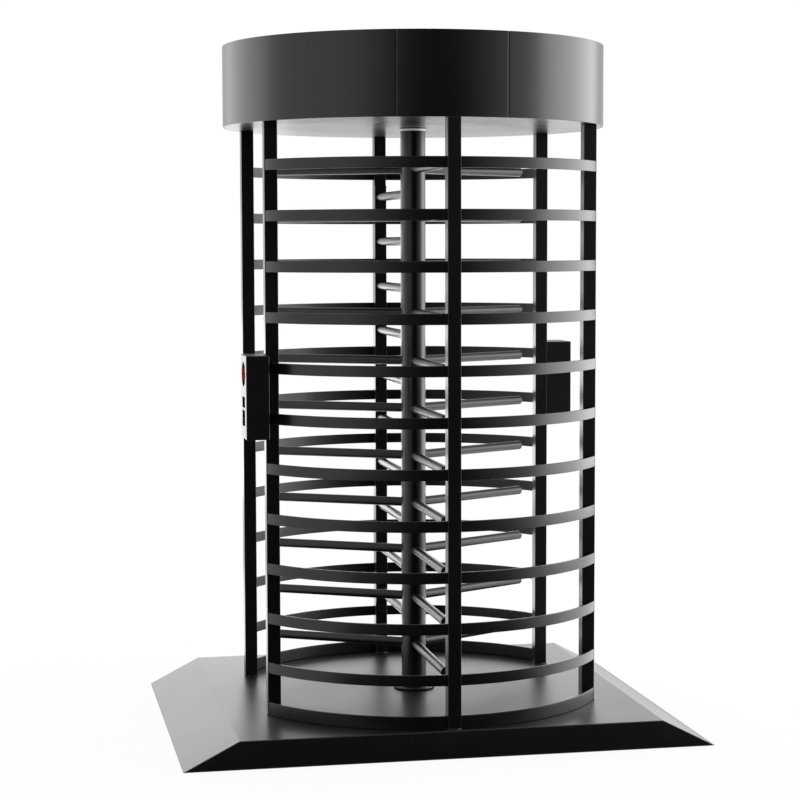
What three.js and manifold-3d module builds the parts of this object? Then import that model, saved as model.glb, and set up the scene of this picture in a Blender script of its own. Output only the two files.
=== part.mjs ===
import * as THREE from "three";
import { mergeVertices } from "three/addons/utils/BufferGeometryUtils.js";
import Module from "manifold-3d";

// A full height turnstile: a ramped platform, six posts with two arcs of rails, a rotor with
// three wings of arms, a fixed comb behind it, and a round canopy with the lock inside.
// Millimetres, +Z up. The origin is on the floor on the rotor's axis. The front is -Y, and
// people walk through along X, in at -X and out at +X.

// Platform
const platformHeight = 95;
const deckLength = 1430;
const deckWidth = 1380;
const rampRun = 185;
const platformSheet = 4;
const ribThickness = 6;
const ribFloorGap = 20;
const ribInset = 200;
const cableHoleRadius = 30;

// Posts
const postSize = 45;
const postWall = 3;
const cornerPostX = 554;
const cornerPostY = 318;
const centrePostStandOff = 5;

// Rails
const levelCount = 11;
const levelPitch = 170;
const lowestLevel = 163.5;
const cageRadius = 668;
const railThickness = 10;
const railHeight = 37;
const footRingHeight = 45;
const railSegments = 20;

// Rotor
const shaftDiameter = 89;
const shaftWall = 5;
const armDiameter = 32;
const armWall = 2.5;
const armCapThickness = 4;
const armReach = 532;
const spineInner = 20;
const spineOuter = 32;
const spineWidth = 20;
const spineEnd = 30;
const wingNames = ["rotor_wing_front", "rotor_wing_right", "rotor_wing_left"];
const firstWingDegrees = -90;

// Comb
const combTipRadius = 62;
const combStripThickness = 8;
const combStripEnd = 45;

// Floor bearing
const flangeDiameter = 146;
const flangeThickness = 10;
const spigotHeight = 45;

// Canopy
const clearHeight = 2008;
const canopyHeight = 280;
const canopyRadius = 672;
const canopySheet = 2;
const soffitThickness = 3;
const lidThickness = 3;
const centrePanelWidth = 376;
const panelJoint = 1;
const shaftOpeningGap = 6;
const wideArcSegments = 24;
const narrowArcSegments = 6;

// Head frame and lock
const frameBarSize = 40;
const frameBarHeight = 45;
const frameBarWall = 3;
const frameInnerX = 200;
const frameEndGap = 5;
const plateLength = 640;
const plateWidth = 360;
const plateThickness = 8;
const bearingFlangeSize = 170;
const bearingFlangeThickness = 14;
const bearingHeight = 40;
const bearingDiameter = 140;
const discRadius = 130;
const discThickness = 12;
const discLift = 13;
const discNotchCount = 12;
const notchWidth = 36;
const notchDepth = 22;
const shaftTopRise = 18;
const pawlPivotX = 165;
const pawlPivotY = -72;
const pawlNoseLength = 80;
const pawlNoseWidth = 18;
const pawlNoseReach = 32;
const pawlBarWidth = 16;
const pawlHubRadius = 18;
const pawlTailLength = 50;
const pawlTailEnd = 12;
const pawlSlotWidth = 9;
const pawlSlotLength = 14;
const pivotPinRadius = 8;
const pivotShoulderRadius = 14;
const pivotPinRise = 8;
const plungerRadius = 10;
const plungerLength = 70;
const plungerStart = 16;
const plungerPinRadius = 4;
const plungerPinRise = 3;
const tongueThickness = 5;
const tongueWidth = 14;
const tongueOverlap = 8;
const solenoidStart = 45;
const solenoidLength = 70;
const solenoidWidth = 50;
const solenoidBoreEnd = 8;
const controlBoxLength = 220;
const controlBoxWidth = 220;
const controlBoxHeight = 90;
const controlBoxWall = 2;
const controlBoxOverhang = 2;
const controlCableRadius = 12;

// Readers
const entryReaderWidth = 78;
const exitReaderWidth = 93;
const readerDepth = 145;
const readerHeight = 280;
const readerBottom = 950;
const readerWall = 2.5;
const displayRadius = 41;
const displayRecess = 4;
const displayBelowTop = 64;
const windowWidth = 70;
const windowRecess = 1;
const upperWindowHeight = 37;
const upperWindowBelowTop = 158;
const lowerWindowHeight = 54;
const lowerWindowBelowTop = 211;
const readerCableRadius = 8;

// Clearances
const seatGap = 0.3;
const slotGap = 1;
const bearingGap = 0.5;
const overrun = 5;

// Facets of the round pieces
const armSides = 10;
const boreSides = 6;
const shaftSides = 24;
const pinSides = 24;

// Heights and places that follow from the sizes above
const deckTop = platformHeight;
const soffitBottom = deckTop + clearHeight;
const soffitTop = soffitBottom + soffitThickness;
const canopyTop = soffitBottom + canopyHeight;
const plateBottom = soffitTop + frameBarHeight;
const plateTop = plateBottom + plateThickness;
const discBottom = plateTop + bearingHeight + discLift;
const discTop = discBottom + discThickness;
const lockCentre = (discBottom + discTop) / 2;
const shaftTop = discTop + shaftTopRise;
const shaftBottom = deckTop + flangeThickness + bearingGap;
const shaftRadius = shaftDiameter / 2;
const shaftBore = shaftRadius - shaftWall;
const armRadius = armDiameter / 2;
const halfPost = postSize / 2;
const centrePostY = cageRadius + centrePostStandOff - halfPost;
const cornerFaceY = cornerPostY + halfPost;
const readerMiddle = cornerPostY - halfPost + readerDepth / 2;
const cornerFaceX = cornerPostX + halfPost;
const innerCanopyRadius = canopyRadius - canopySheet;
const panelRadius = innerCanopyRadius - seatGap;
const levelHeight = (level) => deckTop + lowestLevel + level * levelPitch;
const wingDegrees = (index) => firstWingDegrees + (360 * index) / wingNames.length;

const wasm = await Module();
wasm.setup();

// Turns a closed three.js geometry into a solid that can be cut and joined.
function solid(geometry) {
  const bare = geometry.clone();
  bare.deleteAttribute("normal");
  bare.deleteAttribute("uv");
  const merged = mergeVertices(bare, 1e-4);
  const mesh = new wasm.Mesh({
    numProp: 3,
    vertProperties: new Float32Array(merged.attributes.position.array),
    triVerts: new Uint32Array(merged.index.array),
  });
  return new wasm.Manifold(mesh);
}

// Turns a solid back into a three.js geometry.
function geometryOf(body) {
  const mesh = body.getMesh();
  const geometry = new THREE.BufferGeometry();
  geometry.setAttribute("position", new THREE.BufferAttribute(new Float32Array(mesh.vertProperties), 3));
  geometry.setIndex(new THREE.BufferAttribute(new Uint32Array(mesh.triVerts), 1));
  geometry.computeVertexNormals();
  return geometry;
}

const joinAll = (bodies) => bodies.reduce((all, body) => all.add(body));
const cutAll = (body, tools) => body.subtract(joinAll(tools));

// A block between two corners.
function block([x0, x1], [y0, y1], [z0, z1]) {
  const geometry = new THREE.BoxGeometry(x1 - x0, y1 - y0, z1 - z0);
  geometry.translate((x0 + x1) / 2, (y0 + y1) / 2, (z0 + z1) / 2);
  return solid(geometry);
}

// An upright round bar about the point x, y.
function roundBar(radius, [z0, z1], sides, x = 0, y = 0) {
  const geometry = new THREE.CylinderGeometry(radius, radius, z1 - z0, sides);
  geometry.rotateX(Math.PI / 2);
  geometry.translate(x, y, (z0 + z1) / 2);
  return solid(geometry);
}

// A round bar along X at height z, between two values of x.
function levelBar(radius, [x0, x1], z, sides, y = 0) {
  const geometry = new THREE.CylinderGeometry(radius, radius, x1 - x0, sides);
  geometry.rotateZ(Math.PI / 2);
  geometry.translate((x0 + x1) / 2, y, z);
  return solid(geometry);
}

// A flat outline raised between two heights.
function prism(points, [z0, z1]) {
  const shape = new THREE.Shape(points);
  const geometry = new THREE.ExtrudeGeometry(shape, { depth: z1 - z0, bevelEnabled: false });
  geometry.translate(0, 0, z0);
  return solid(geometry);
}

const turned = (body, degrees) => body.rotate([0, 0, degrees]);
const span = (centre, size) => [centre - size / 2, centre + size / 2];
const between = (a, b) => [Math.min(a, b), Math.max(a, b)];

// Points on the arc of one radius that lies beyond the line x = cut, from -Y to +Y.
function arcPoints(radius, cut, segments) {
  const reach = Math.acos(cut / radius);
  const points = [];
  for (let i = 0; i <= segments; i += 1) {
    const angle = -reach + (2 * reach * i) / segments;
    points.push(new THREE.Vector2(radius * Math.cos(angle), radius * Math.sin(angle)));
  }
  return points;
}

// A curved band beyond the line x = cut, facing +X.
function band(radius, thickness, cut, heights, segments) {
  const outer = arcPoints(radius, cut, segments);
  const inner = arcPoints(radius - thickness, cut, segments).reverse();
  return prism([...outer, ...inner], heights);
}

const black = { color: 0x101011, roughness: 0.32, metalness: 0.1 };
const paints = {
  frame: new THREE.MeshStandardMaterial(black),
  rotor: new THREE.MeshStandardMaterial({ color: 0x161617, roughness: 0.28, metalness: 0.25 }),
  canopy: new THREE.MeshStandardMaterial({ color: 0x121213, roughness: 0.34, metalness: 0.1 }),
  soffit: new THREE.MeshStandardMaterial({ color: 0x1b1b1c, roughness: 0.4, metalness: 0.1 }),
  platform: new THREE.MeshStandardMaterial({ color: 0x151516, roughness: 0.36, metalness: 0.1 }),
  reader: new THREE.MeshStandardMaterial({ color: 0x0c0c0d, roughness: 0.3, metalness: 0.05 }),
  display: new THREE.MeshStandardMaterial({ color: 0x030303, roughness: 0.08, metalness: 0 }),
  steel: new THREE.MeshStandardMaterial({ color: 0x9b9ea2, roughness: 0.35, metalness: 1 }),
  zinc: new THREE.MeshStandardMaterial({ color: 0xb3b0a4, roughness: 0.45, metalness: 1 }),
};

const turnstile = new THREE.Group();

function place(name, body, material) {
  const mesh = new THREE.Mesh(geometryOf(body), material);
  mesh.name = name;
  turnstile.add(mesh);
}

// Half length of the platform's slope at a height, measured in from the outer face by inset.
function slopeX(height, inset) {
  const slopeShare = rampRun / platformHeight;
  const outer = deckLength / 2 + rampRun - slopeShare * height;
  return outer - inset * Math.hypot(1, slopeShare);
}

// A closed plinth of sheet, with a slope on both walking sides and ribs under the deck.
function platform() {
  const outline = (inset, low, high) => [
    new THREE.Vector2(-slopeX(low, inset), low),
    new THREE.Vector2(slopeX(low, inset), low),
    new THREE.Vector2(slopeX(high, inset), high),
    new THREE.Vector2(-slopeX(high, inset), high),
  ];
  const plinth = (inset) => {
    const shape = new THREE.Shape(outline(inset, inset, platformHeight - inset));
    const width = deckWidth - 2 * inset;
    const geometry = new THREE.ExtrudeGeometry(shape, { depth: width, bevelEnabled: false });
    geometry.rotateX(Math.PI / 2);
    geometry.translate(0, width / 2, 0);
    return solid(geometry);
  };
  const ribHeights = [platformSheet + ribFloorGap, platformHeight];
  const acrossX = [-deckLength / 2, deckLength / 2];
  const acrossY = [-deckWidth / 2, deckWidth / 2];
  const ribs = [];
  for (const x of [-cornerPostX, -ribInset, ribInset, cornerPostX]) {
    ribs.push(block(span(x, ribThickness), acrossY, ribHeights));
  }
  for (const y of [-cornerPostY, 0, cornerPostY]) {
    ribs.push(block(acrossX, span(y, ribThickness), ribHeights));
  }
  const hollow = plinth(platformSheet).subtract(joinAll(ribs));
  const cableHole = roundBar(cableHoleRadius, [-overrun, platformSheet + ribFloorGap], pinSides);
  return plinth(0).subtract(hollow.add(cableHole));
}

function squareTube(x, y, heights) {
  const outer = block(span(x, postSize), span(y, postSize), heights);
  const boreSize = postSize - 2 * postWall;
  const boreHeights = [heights[0] - overrun, heights[1] + overrun];
  return outer.subtract(block(span(x, boreSize), span(y, boreSize), boreHeights));
}

// A centre post, with a slot at each rail so that the rail runs through it in one length.
function centrePost(side) {
  const slotX = [-halfPost - overrun, halfPost + overrun];
  const innerFace = Math.sqrt((cageRadius - railThickness) ** 2 - halfPost ** 2);
  const slotY = [innerFace - slotGap, cageRadius + slotGap].map((y) => side * y).sort((a, b) => a - b);
  const slots = [block(slotX, slotY, [deckTop - overrun, deckTop + footRingHeight + slotGap])];
  for (let level = 0; level < levelCount; level += 1) {
    slots.push(block(slotX, slotY, span(levelHeight(level), railHeight + 2 * slotGap)));
  }
  return cutAll(squareTube(0, side * centrePostY, [deckTop, soffitBottom]), slots);
}

// One arc of a rail, from corner post to corner post.
function rail(side, heights) {
  const arc = band(cageRadius, railThickness, cornerFaceY + seatGap, heights, railSegments);
  return turned(arc, side * 90);
}

function cage() {
  const posts = {
    post_front_left: [-cornerPostX, -cornerPostY],
    post_front_right: [cornerPostX, -cornerPostY],
    post_rear_left: [-cornerPostX, cornerPostY],
    post_rear_right: [cornerPostX, cornerPostY],
  };
  for (const [name, [x, y]] of Object.entries(posts)) {
    place(name, squareTube(x, y, [deckTop, soffitBottom]), paints.frame);
  }
  const sides = { front: -1, rear: 1 };
  for (const [word, side] of Object.entries(sides)) {
    place(`post_${word}_centre`, centrePost(side), paints.frame);
    place(`foot_ring_${word}`, rail(side, [deckTop, deckTop + footRingHeight]), paints.frame);
    for (let level = 0; level < levelCount; level += 1) {
      const number = String(level + 1).padStart(2, "0");
      place(`rail_${word}_${number}`, rail(side, span(levelHeight(level), railHeight)), paints.frame);
    }
  }
}

// The outside of a tube along X, from its open root to its closed tip.
function tubeOutside(root, tip, z) {
  return levelBar(armRadius, between(root, tip), z, armSides);
}

// The bore of the same tube, which stops short of the tip.
function tubeBore(root, tip, z) {
  const outward = Math.sign(tip - root);
  const ends = between(root - outward * overrun, tip - outward * armCapThickness);
  return levelBar(armRadius - armWall, ends, z, boreSides);
}

// One wing: a column of arms on a spine that stands inside the shaft.
function wing(degrees) {
  const bottom = levelHeight(0) - spineEnd;
  const top = levelHeight(levelCount - 1) + spineEnd;
  const pieces = [block([spineInner, spineOuter], span(0, spineWidth), [bottom, top])];
  const root = (spineInner + spineOuter) / 2;
  for (let level = 0; level < levelCount; level += 1) {
    const z = levelHeight(level);
    pieces.push(tubeOutside(root, armReach, z).subtract(tubeBore(root, armReach, z)));
  }
  return turned(joinAll(pieces), degrees);
}

function shaft() {
  const tube = roundBar(shaftRadius, [shaftBottom, shaftTop], shaftSides);
  const cuts = [roundBar(shaftBore, [shaftBottom - overrun, shaftTop + overrun], shaftSides)];
  for (let wingIndex = 0; wingIndex < wingNames.length; wingIndex += 1) {
    for (let level = 0; level < levelCount; level += 1) {
      const hole = levelBar(armRadius + seatGap, [spineInner, shaftDiameter], levelHeight(level), armSides);
      cuts.push(turned(hole, wingDegrees(wingIndex)));
    }
  }
  return cutAll(tube, cuts);
}

function indexDisc() {
  const disc = roundBar(discRadius, [discBottom, discTop], shaftSides);
  const cuts = [roundBar(shaftRadius + seatGap, [discBottom - overrun, discTop + overrun], shaftSides)];
  const notchX = [discRadius - notchDepth, discRadius + overrun];
  const notchHeights = [discBottom - overrun, discTop + overrun];
  for (let i = 0; i < discNotchCount; i += 1) {
    const notch = block(notchX, span(0, notchWidth), notchHeights);
    cuts.push(turned(notch, (360 * i) / discNotchCount));
  }
  return cutAll(disc, cuts);
}

function rotor() {
  place("rotor_shaft", shaft(), paints.rotor);
  wingNames.forEach((name, index) => place(name, wing(wingDegrees(index)), paints.rotor));
  place("index_disc", indexDisc(), paints.steel);
}

// The foot bearing: a flange on the deck with a spigot inside the shaft.
function floorBearing() {
  const flangeTop = deckTop + flangeThickness;
  const flange = roundBar(flangeDiameter / 2, [deckTop, flangeTop], shaftSides);
  const spigot = roundBar(shaftBore - bearingGap, [deckTop, flangeTop + spigotHeight], shaftSides);
  return flange.add(spigot);
}

// The fixed comb: its tubes fill the spaces between the arms' levels.
function comb() {
  const postFace = centrePostY - halfPost;
  const lowest = levelHeight(0) + levelPitch / 2;
  const highest = lowest + (levelCount - 2) * levelPitch;
  const heights = [lowest - combStripEnd, highest + combStripEnd];
  const pieces = [block([postFace - combStripThickness, postFace], span(0, postSize), heights)];
  const bores = [];
  for (let level = 0; level < levelCount - 1; level += 1) {
    const z = lowest + level * levelPitch;
    pieces.push(tubeOutside(postFace, combTipRadius, z));
    bores.push(tubeBore(postFace, combTipRadius, z));
  }
  return turned(cutAll(joinAll(pieces), bores), 90);
}

// A sheet of the canopy's floor beyond the line x = cut, facing +X.
function sidePanel(cut, heights) {
  return prism(arcPoints(panelRadius, cut, wideArcSegments), heights);
}

const quarterTurned = (points) => points.map((p) => new THREE.Vector2(-p.y, p.x));
const halfTurned = (points) => quarterTurned(quarterTurned(points));

// The short arc at the rear end of the middle strip, at the sheets' radius.
function rearCap() {
  const half = centrePanelWidth / 2 - panelJoint / 2;
  const end = Math.sqrt(panelRadius ** 2 - half ** 2);
  return quarterTurned(arcPoints(panelRadius, end, narrowArcSegments));
}

// The middle strip of the canopy's floor, with the shaft's opening.
function centrePanel(heights) {
  const opening = roundBar(
    shaftRadius + shaftOpeningGap,
    [heights[0] - overrun, heights[1] + overrun],
    shaftSides,
  );
  return prism([...rearCap(), ...halfTurned(rearCap())], heights).subtract(opening);
}

// The lid, cut to the same arcs as the fascia around it.
function lid() {
  const right = arcPoints(panelRadius, centrePanelWidth / 2 + panelJoint / 2, wideArcSegments);
  const half = [...right, ...rearCap()];
  return prism([...half, ...halfTurned(half)], [canopyTop - lidThickness, canopyTop]);
}

function canopy() {
  const sheetHeights = [soffitBottom, canopyTop];
  const soffitHeights = [soffitBottom, soffitTop];
  const sideCut = centrePanelWidth / 2 + panelJoint / 2;
  const sideBand = band(canopyRadius, canopySheet, sideCut, sheetHeights, wideArcSegments);
  const half = centrePanelWidth / 2 - panelJoint / 2;
  const reach = Math.sqrt(canopyRadius ** 2 - half ** 2);
  const innerReach = Math.sqrt(innerCanopyRadius ** 2 - half ** 2);
  const outer = arcPoints(canopyRadius, reach, narrowArcSegments);
  const inner = arcPoints(innerCanopyRadius, innerReach, narrowArcSegments).reverse();
  const endBand = prism([...outer, ...inner], sheetHeights);
  place("fascia_right", sideBand, paints.canopy);
  place("fascia_left", turned(sideBand, 180), paints.canopy);
  place("fascia_front", turned(endBand, -90), paints.canopy);
  place("fascia_rear", turned(endBand, 90), paints.canopy);
  place("soffit_right", sidePanel(sideCut, soffitHeights), paints.soffit);
  place("soffit_left", turned(sidePanel(sideCut, soffitHeights), 180), paints.soffit);
  place("soffit_centre", centrePanel(soffitHeights), paints.soffit);
  place("top_cover", lid(), paints.canopy);
}

// The open topped channels on the soffit that tie the posts together and carry the lock.
function headFrame() {
  const bars = [];
  const stubEnd = innerCanopyRadius - frameEndGap - frameBarSize / 2;
  for (const side of [-1, 1]) {
    bars.push([[-cornerPostX, cornerPostX], [side * cornerPostY, side * cornerPostY]]);
    bars.push([[side * cornerPostX, side * cornerPostX], [-cornerPostY, cornerPostY]]);
    bars.push([[side * frameInnerX, side * frameInnerX], [-cornerPostY, cornerPostY]]);
    bars.push([[0, 0], between(side * cornerPostY, side * stubEnd)]);
  }
  const grown = (width, heights) =>
    joinAll(
      bars.map(([[x0, x1], [y0, y1]]) =>
        block([x0 - width / 2, x1 + width / 2], [y0 - width / 2, y1 + width / 2], heights),
      ),
    );
  const outer = grown(frameBarSize, [soffitTop, plateBottom]);
  const channelFloor = soffitTop + frameBarWall;
  return outer.subtract(grown(frameBarSize - 2 * frameBarWall, [channelFloor, plateBottom + overrun]));
}

// The plate that carries the top bearing and both locks, with a shouldered stud for each pawl.
function mechanismPlate() {
  const plate = block(span(0, plateLength), span(0, plateWidth), [plateBottom, plateTop]);
  const opening = roundBar(
    shaftRadius + shaftOpeningGap,
    [plateBottom - overrun, plateTop + overrun],
    shaftSides,
  );
  const shoulderTop = discBottom - seatGap;
  const pinTop = discTop + pivotPinRise;
  const bar = (radius, top) => roundBar(radius, [plateBottom, top], pinSides, pawlPivotX, pawlPivotY);
  const stud = bar(pivotShoulderRadius, shoulderTop).add(bar(pivotPinRadius, pinTop));
  return joinAll([plate.subtract(opening), stud, turned(stud, 180)]);
}

function topBearing() {
  const flangeHeights = [plateTop, plateTop + bearingFlangeThickness];
  const flange = block(span(0, bearingFlangeSize), span(0, bearingFlangeSize), flangeHeights);
  const boss = roundBar(bearingDiameter / 2, [plateTop, plateTop + bearingHeight], shaftSides);
  const boreHeights = [plateTop - overrun, plateTop + bearingHeight + overrun];
  return flange.add(boss).subtract(roundBar(shaftRadius + bearingGap, boreHeights, shaftSides));
}

// The pawl, drawn about its pivot at rest, with its nose clear of the disc.
function pawl() {
  const heights = [discBottom, discTop];
  const x = pawlPivotX;
  const y = pawlPivotY;
  const barHalf = pawlBarWidth / 2;
  const noseTop = y + pawlNoseLength + pawlNoseWidth / 2;
  const tailY = y - pawlTailLength;
  const hub = roundBar(pawlHubRadius, heights, pinSides, x, y);
  const bar = block([x - barHalf, x + barHalf], [tailY - pawlTailEnd, noseTop], heights);
  const nose = block([x - pawlNoseReach, x + barHalf], [noseTop - pawlNoseWidth, noseTop], heights);
  const cutHeights = [discBottom - overrun, discTop + overrun];
  const bore = roundBar(pivotPinRadius + bearingGap, cutHeights, pinSides, x, y);
  const slot = block(span(x, pawlSlotWidth), span(tailY, pawlSlotLength), cutHeights);
  return joinAll([hub, bar, nose]).subtract(bore.add(slot));
}

// The plunger: a rod into the coil, and a tongue under the pawl's tail with the driving pin.
function plunger() {
  const y = pawlPivotY - pawlTailLength;
  const rodFrom = pawlPivotX + plungerStart;
  const rod = levelBar(plungerRadius, [rodFrom, rodFrom + plungerLength], lockCentre, pinSides, y);
  const tongueTop = discBottom - bearingGap;
  const tongueHeights = [tongueTop - tongueThickness, tongueTop];
  const tongueX = [pawlPivotX - tongueOverlap, rodFrom + tongueOverlap];
  const tongue = block(tongueX, span(y, tongueWidth), tongueHeights);
  const pinHeights = [tongueTop - tongueThickness, discTop + plungerPinRise];
  const pin = roundBar(plungerPinRadius, pinHeights, armSides, pawlPivotX, y);
  return joinAll([rod, tongue, pin]);
}

function solenoid() {
  const y = pawlPivotY - pawlTailLength;
  const from = pawlPivotX + solenoidStart;
  const to = from + solenoidLength;
  const body = block([from, to], span(y, solenoidWidth), [plateTop, lockCentre + solenoidWidth / 2]);
  const boreX = [from - overrun, to - solenoidBoreEnd];
  return body.subtract(levelBar(plungerRadius + bearingGap, boreX, lockCentre, pinSides, y));
}

// A thin walled case, with a round cable hole in its underside.
function controlBox() {
  const y0 = cornerPostY - frameBarSize / 2 + controlBoxOverhang;
  const y = [y0, y0 + controlBoxWidth];
  const z = [plateBottom, plateBottom + controlBoxHeight];
  const outer = block(span(0, controlBoxLength), y, z);
  const inset = ([low, high]) => [low + controlBoxWall, high - controlBoxWall];
  const inner = block(inset(span(0, controlBoxLength)), inset(y), inset(z));
  const holeHeights = [z[0] - overrun, z[0] + overrun];
  const hole = roundBar(controlCableRadius, holeHeights, pinSides, controlBoxLength / 4, (y[0] + y[1]) / 2);
  return outer.subtract(inner.add(hole));
}

function head() {
  place("head_frame", headFrame(), paints.zinc);
  place("mechanism_plate", mechanismPlate(), paints.zinc);
  place("top_bearing", topBearing(), paints.steel);
  place("control_box", controlBox(), paints.canopy);
  const turns = { exit: 0, entry: 180 };
  for (const [word, degrees] of Object.entries(turns)) {
    place(`lock_pawl_${word}`, turned(pawl(), degrees), paints.steel);
    place(`plunger_${word}`, turned(plunger(), degrees), paints.steel);
    place(`solenoid_${word}`, turned(solenoid(), degrees), paints.zinc);
  }
}

// A reader on the outer side of the right rear post, flush with the post's front: a case with
// a round recess for the display and two shallow ones for the reading windows.
function readerHousing(width) {
  const face = cornerFaceX + width;
  const top = deckTop + readerBottom + readerHeight;
  const x = [cornerFaceX, face];
  const y = span(readerMiddle, readerDepth);
  const z = [top - readerHeight, top];
  const innerX = [x[0] + readerWall, face - displayRecess - readerWall];
  const innerY = [y[0] + readerWall, y[1] - readerWall];
  const inner = block(innerX, innerY, [z[0] + readerWall, z[1] - readerWall]);
  const recessX = [face - displayRecess, face + overrun];
  const cableX = [x[0] - overrun, x[0] + overrun];
  const cable = levelBar(readerCableRadius, cableX, (z[0] + z[1]) / 2, pinSides, cornerPostY);
  const recess = levelBar(displayRadius + seatGap, recessX, top - displayBelowTop, shaftSides, readerMiddle);
  const windowX = [face - windowRecess, face + overrun];
  const window = (height, below) =>
    block(windowX, span(readerMiddle, windowWidth), span(top - below, height));
  const cuts = [inner, cable, recess];
  cuts.push(window(upperWindowHeight, upperWindowBelowTop));
  cuts.push(window(lowerWindowHeight, lowerWindowBelowTop));
  return cutAll(block(x, y, z), cuts);
}

function readerDisplay(width) {
  const face = cornerFaceX + width;
  const centre = deckTop + readerBottom + readerHeight - displayBelowTop;
  const x = [face - displayRecess + seatGap, face];
  return levelBar(displayRadius, x, centre, shaftSides, readerMiddle);
}

function readers() {
  const sides = { exit: [0, exitReaderWidth], entry: [180, entryReaderWidth] };
  for (const [word, [degrees, width]] of Object.entries(sides)) {
    place(`reader_housing_${word}`, turned(readerHousing(width), degrees), paints.reader);
    place(`reader_display_${word}`, turned(readerDisplay(width), degrees), paints.display);
  }
}

place("platform", platform(), paints.platform);
cage();
place("floor_bearing", floorBearing(), paints.frame);
rotor();
place("comb_barrier", comb(), paints.frame);
canopy();
head();
readers();

export default turnstile;
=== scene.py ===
# %% [markdown]
# A full height turnstile in black paint.
#
# The real object is a security gate for one person at a time. A rotor with three wings of
# tube arms turns inside a round cage of flat rails. A comb of fixed tubes behind it lets the
# arms through and nobody else. The cage stands on a ramped platform, and a round canopy on
# top hides the lock. A card reader stands on each walking side.
#
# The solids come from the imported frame, in metres, with the floor at zero and the rotor on
# the vertical axis. They are right in size but faceted and sharp, so each piece that shows
# is made again here with round edges and fine curves, on the sizes that the frame gives.

# %% Load the frame
import math

import bpy
from mathutils import Matrix, Vector


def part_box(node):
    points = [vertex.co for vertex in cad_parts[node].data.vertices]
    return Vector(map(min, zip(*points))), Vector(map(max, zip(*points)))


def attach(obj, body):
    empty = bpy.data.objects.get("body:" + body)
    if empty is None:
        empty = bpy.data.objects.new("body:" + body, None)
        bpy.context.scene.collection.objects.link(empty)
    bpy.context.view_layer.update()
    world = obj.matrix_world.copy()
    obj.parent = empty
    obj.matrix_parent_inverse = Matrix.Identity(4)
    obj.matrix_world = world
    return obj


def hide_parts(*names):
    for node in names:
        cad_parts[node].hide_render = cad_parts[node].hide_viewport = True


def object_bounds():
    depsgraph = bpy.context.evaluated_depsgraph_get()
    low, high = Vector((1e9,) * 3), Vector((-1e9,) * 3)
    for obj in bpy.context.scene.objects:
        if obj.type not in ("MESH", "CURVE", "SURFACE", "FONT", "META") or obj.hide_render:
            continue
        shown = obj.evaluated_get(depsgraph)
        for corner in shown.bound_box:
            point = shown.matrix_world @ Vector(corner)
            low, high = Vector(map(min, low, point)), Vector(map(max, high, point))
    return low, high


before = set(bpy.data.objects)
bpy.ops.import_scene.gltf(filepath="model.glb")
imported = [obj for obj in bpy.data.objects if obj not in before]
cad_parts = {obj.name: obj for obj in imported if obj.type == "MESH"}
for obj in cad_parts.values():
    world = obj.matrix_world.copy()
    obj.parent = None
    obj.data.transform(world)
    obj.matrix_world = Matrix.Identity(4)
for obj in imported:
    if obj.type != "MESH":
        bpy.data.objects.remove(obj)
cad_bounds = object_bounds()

MM = 0.001


def rounded(values):
    return [round(value, 4) for value in values]


print("box of the solids:", [rounded(corner) for corner in cad_bounds])

# %% [markdown]
# The camera comes first, because every later choice is judged through it. Its place and lens
# were worked out from the picture's edges: a long lens, a little left of the front and a
# little above the middle. A matrix of three directions sets it without any angle order.


# %% Camera
def view_directions(yaw, pitch, roll):
    """Right, up and forward of a camera, from three angles in degrees."""
    yaw, pitch, roll = (math.radians(angle) for angle in (yaw, pitch, roll))
    forward = Vector(
        (math.sin(yaw) * math.cos(pitch), math.cos(yaw) * math.cos(pitch), -math.sin(pitch))
    )
    level_right = Vector((math.cos(yaw), -math.sin(yaw), 0))
    level_up = level_right.cross(forward)
    right = level_right * math.cos(roll) + level_up * math.sin(roll)
    up = level_up * math.cos(roll) - level_right * math.sin(roll)
    return right, up, forward


IMAGE_PIXELS = 800
FOCAL_PIXELS = 2048.5
SENSOR_WIDTH = 36.0
CAMERA_PLACE = Vector((-1.4696, -7.1693, 1.6927))

camera_data = bpy.data.cameras.new("camera")
camera_data.sensor_width = SENSOR_WIDTH
camera_data.lens = FOCAL_PIXELS / IMAGE_PIXELS * SENSOR_WIDTH
camera = bpy.data.objects.new("camera", camera_data)
right, up, forward = view_directions(yaw=11.21, pitch=4.349, roll=-0.14)
turn = Matrix((right, up, -forward)).transposed().to_4x4()
camera.matrix_world = Matrix.Translation(CAMERA_PLACE) @ turn
bpy.context.scene.collection.objects.link(camera)
bpy.context.scene.camera = camera
bpy.context.scene.view_settings.view_transform = "Standard"
print("lens", round(camera_data.lens, 2), "mm")

# %% [markdown]
# Materials and geometry trees are both made of nodes. Two small classes keep them readable.
# Socket lets a sum be written as plain Python, and each operator adds one Math node. Nodes
# adds any other node: its settings are set first, then its inputs are filled or linked.


# %% Helpers for nodes
def grey(level, warmth=0.0):
    return (level * (1 + warmth), level, level * (1 - warmth), 1.0)


class Socket:
    """One output of a node, with the operators that this scene uses."""

    def __init__(self, nodes, output):
        self.nodes = nodes
        self.output = output

    def math(self, operation, first, second=0.0):
        return self.nodes.node("ShaderNodeMath", {"operation": operation}, {0: first, 1: second})

    def __add__(self, other):
        return self.math("ADD", self, other)

    __radd__ = __add__

    def __mul__(self, other):
        return self.math("MULTIPLY", self, other)

    __rmul__ = __mul__

    def __sub__(self, other):
        return self.math("SUBTRACT", self, other)

    def __rsub__(self, other):
        return self.math("SUBTRACT", other, self)

    def __truediv__(self, other):
        return self.math("DIVIDE", self, other)

    def __abs__(self):
        return self.math("ABSOLUTE", self)

    def __lt__(self, other):
        return self.math("LESS_THAN", self, other)

    def __gt__(self, other):
        return self.math("GREATER_THAN", self, other)

    def least(self, other):
        return self.math("MINIMUM", self, other)

    def most(self, other):
        return self.math("MAXIMUM", self, other)


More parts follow.
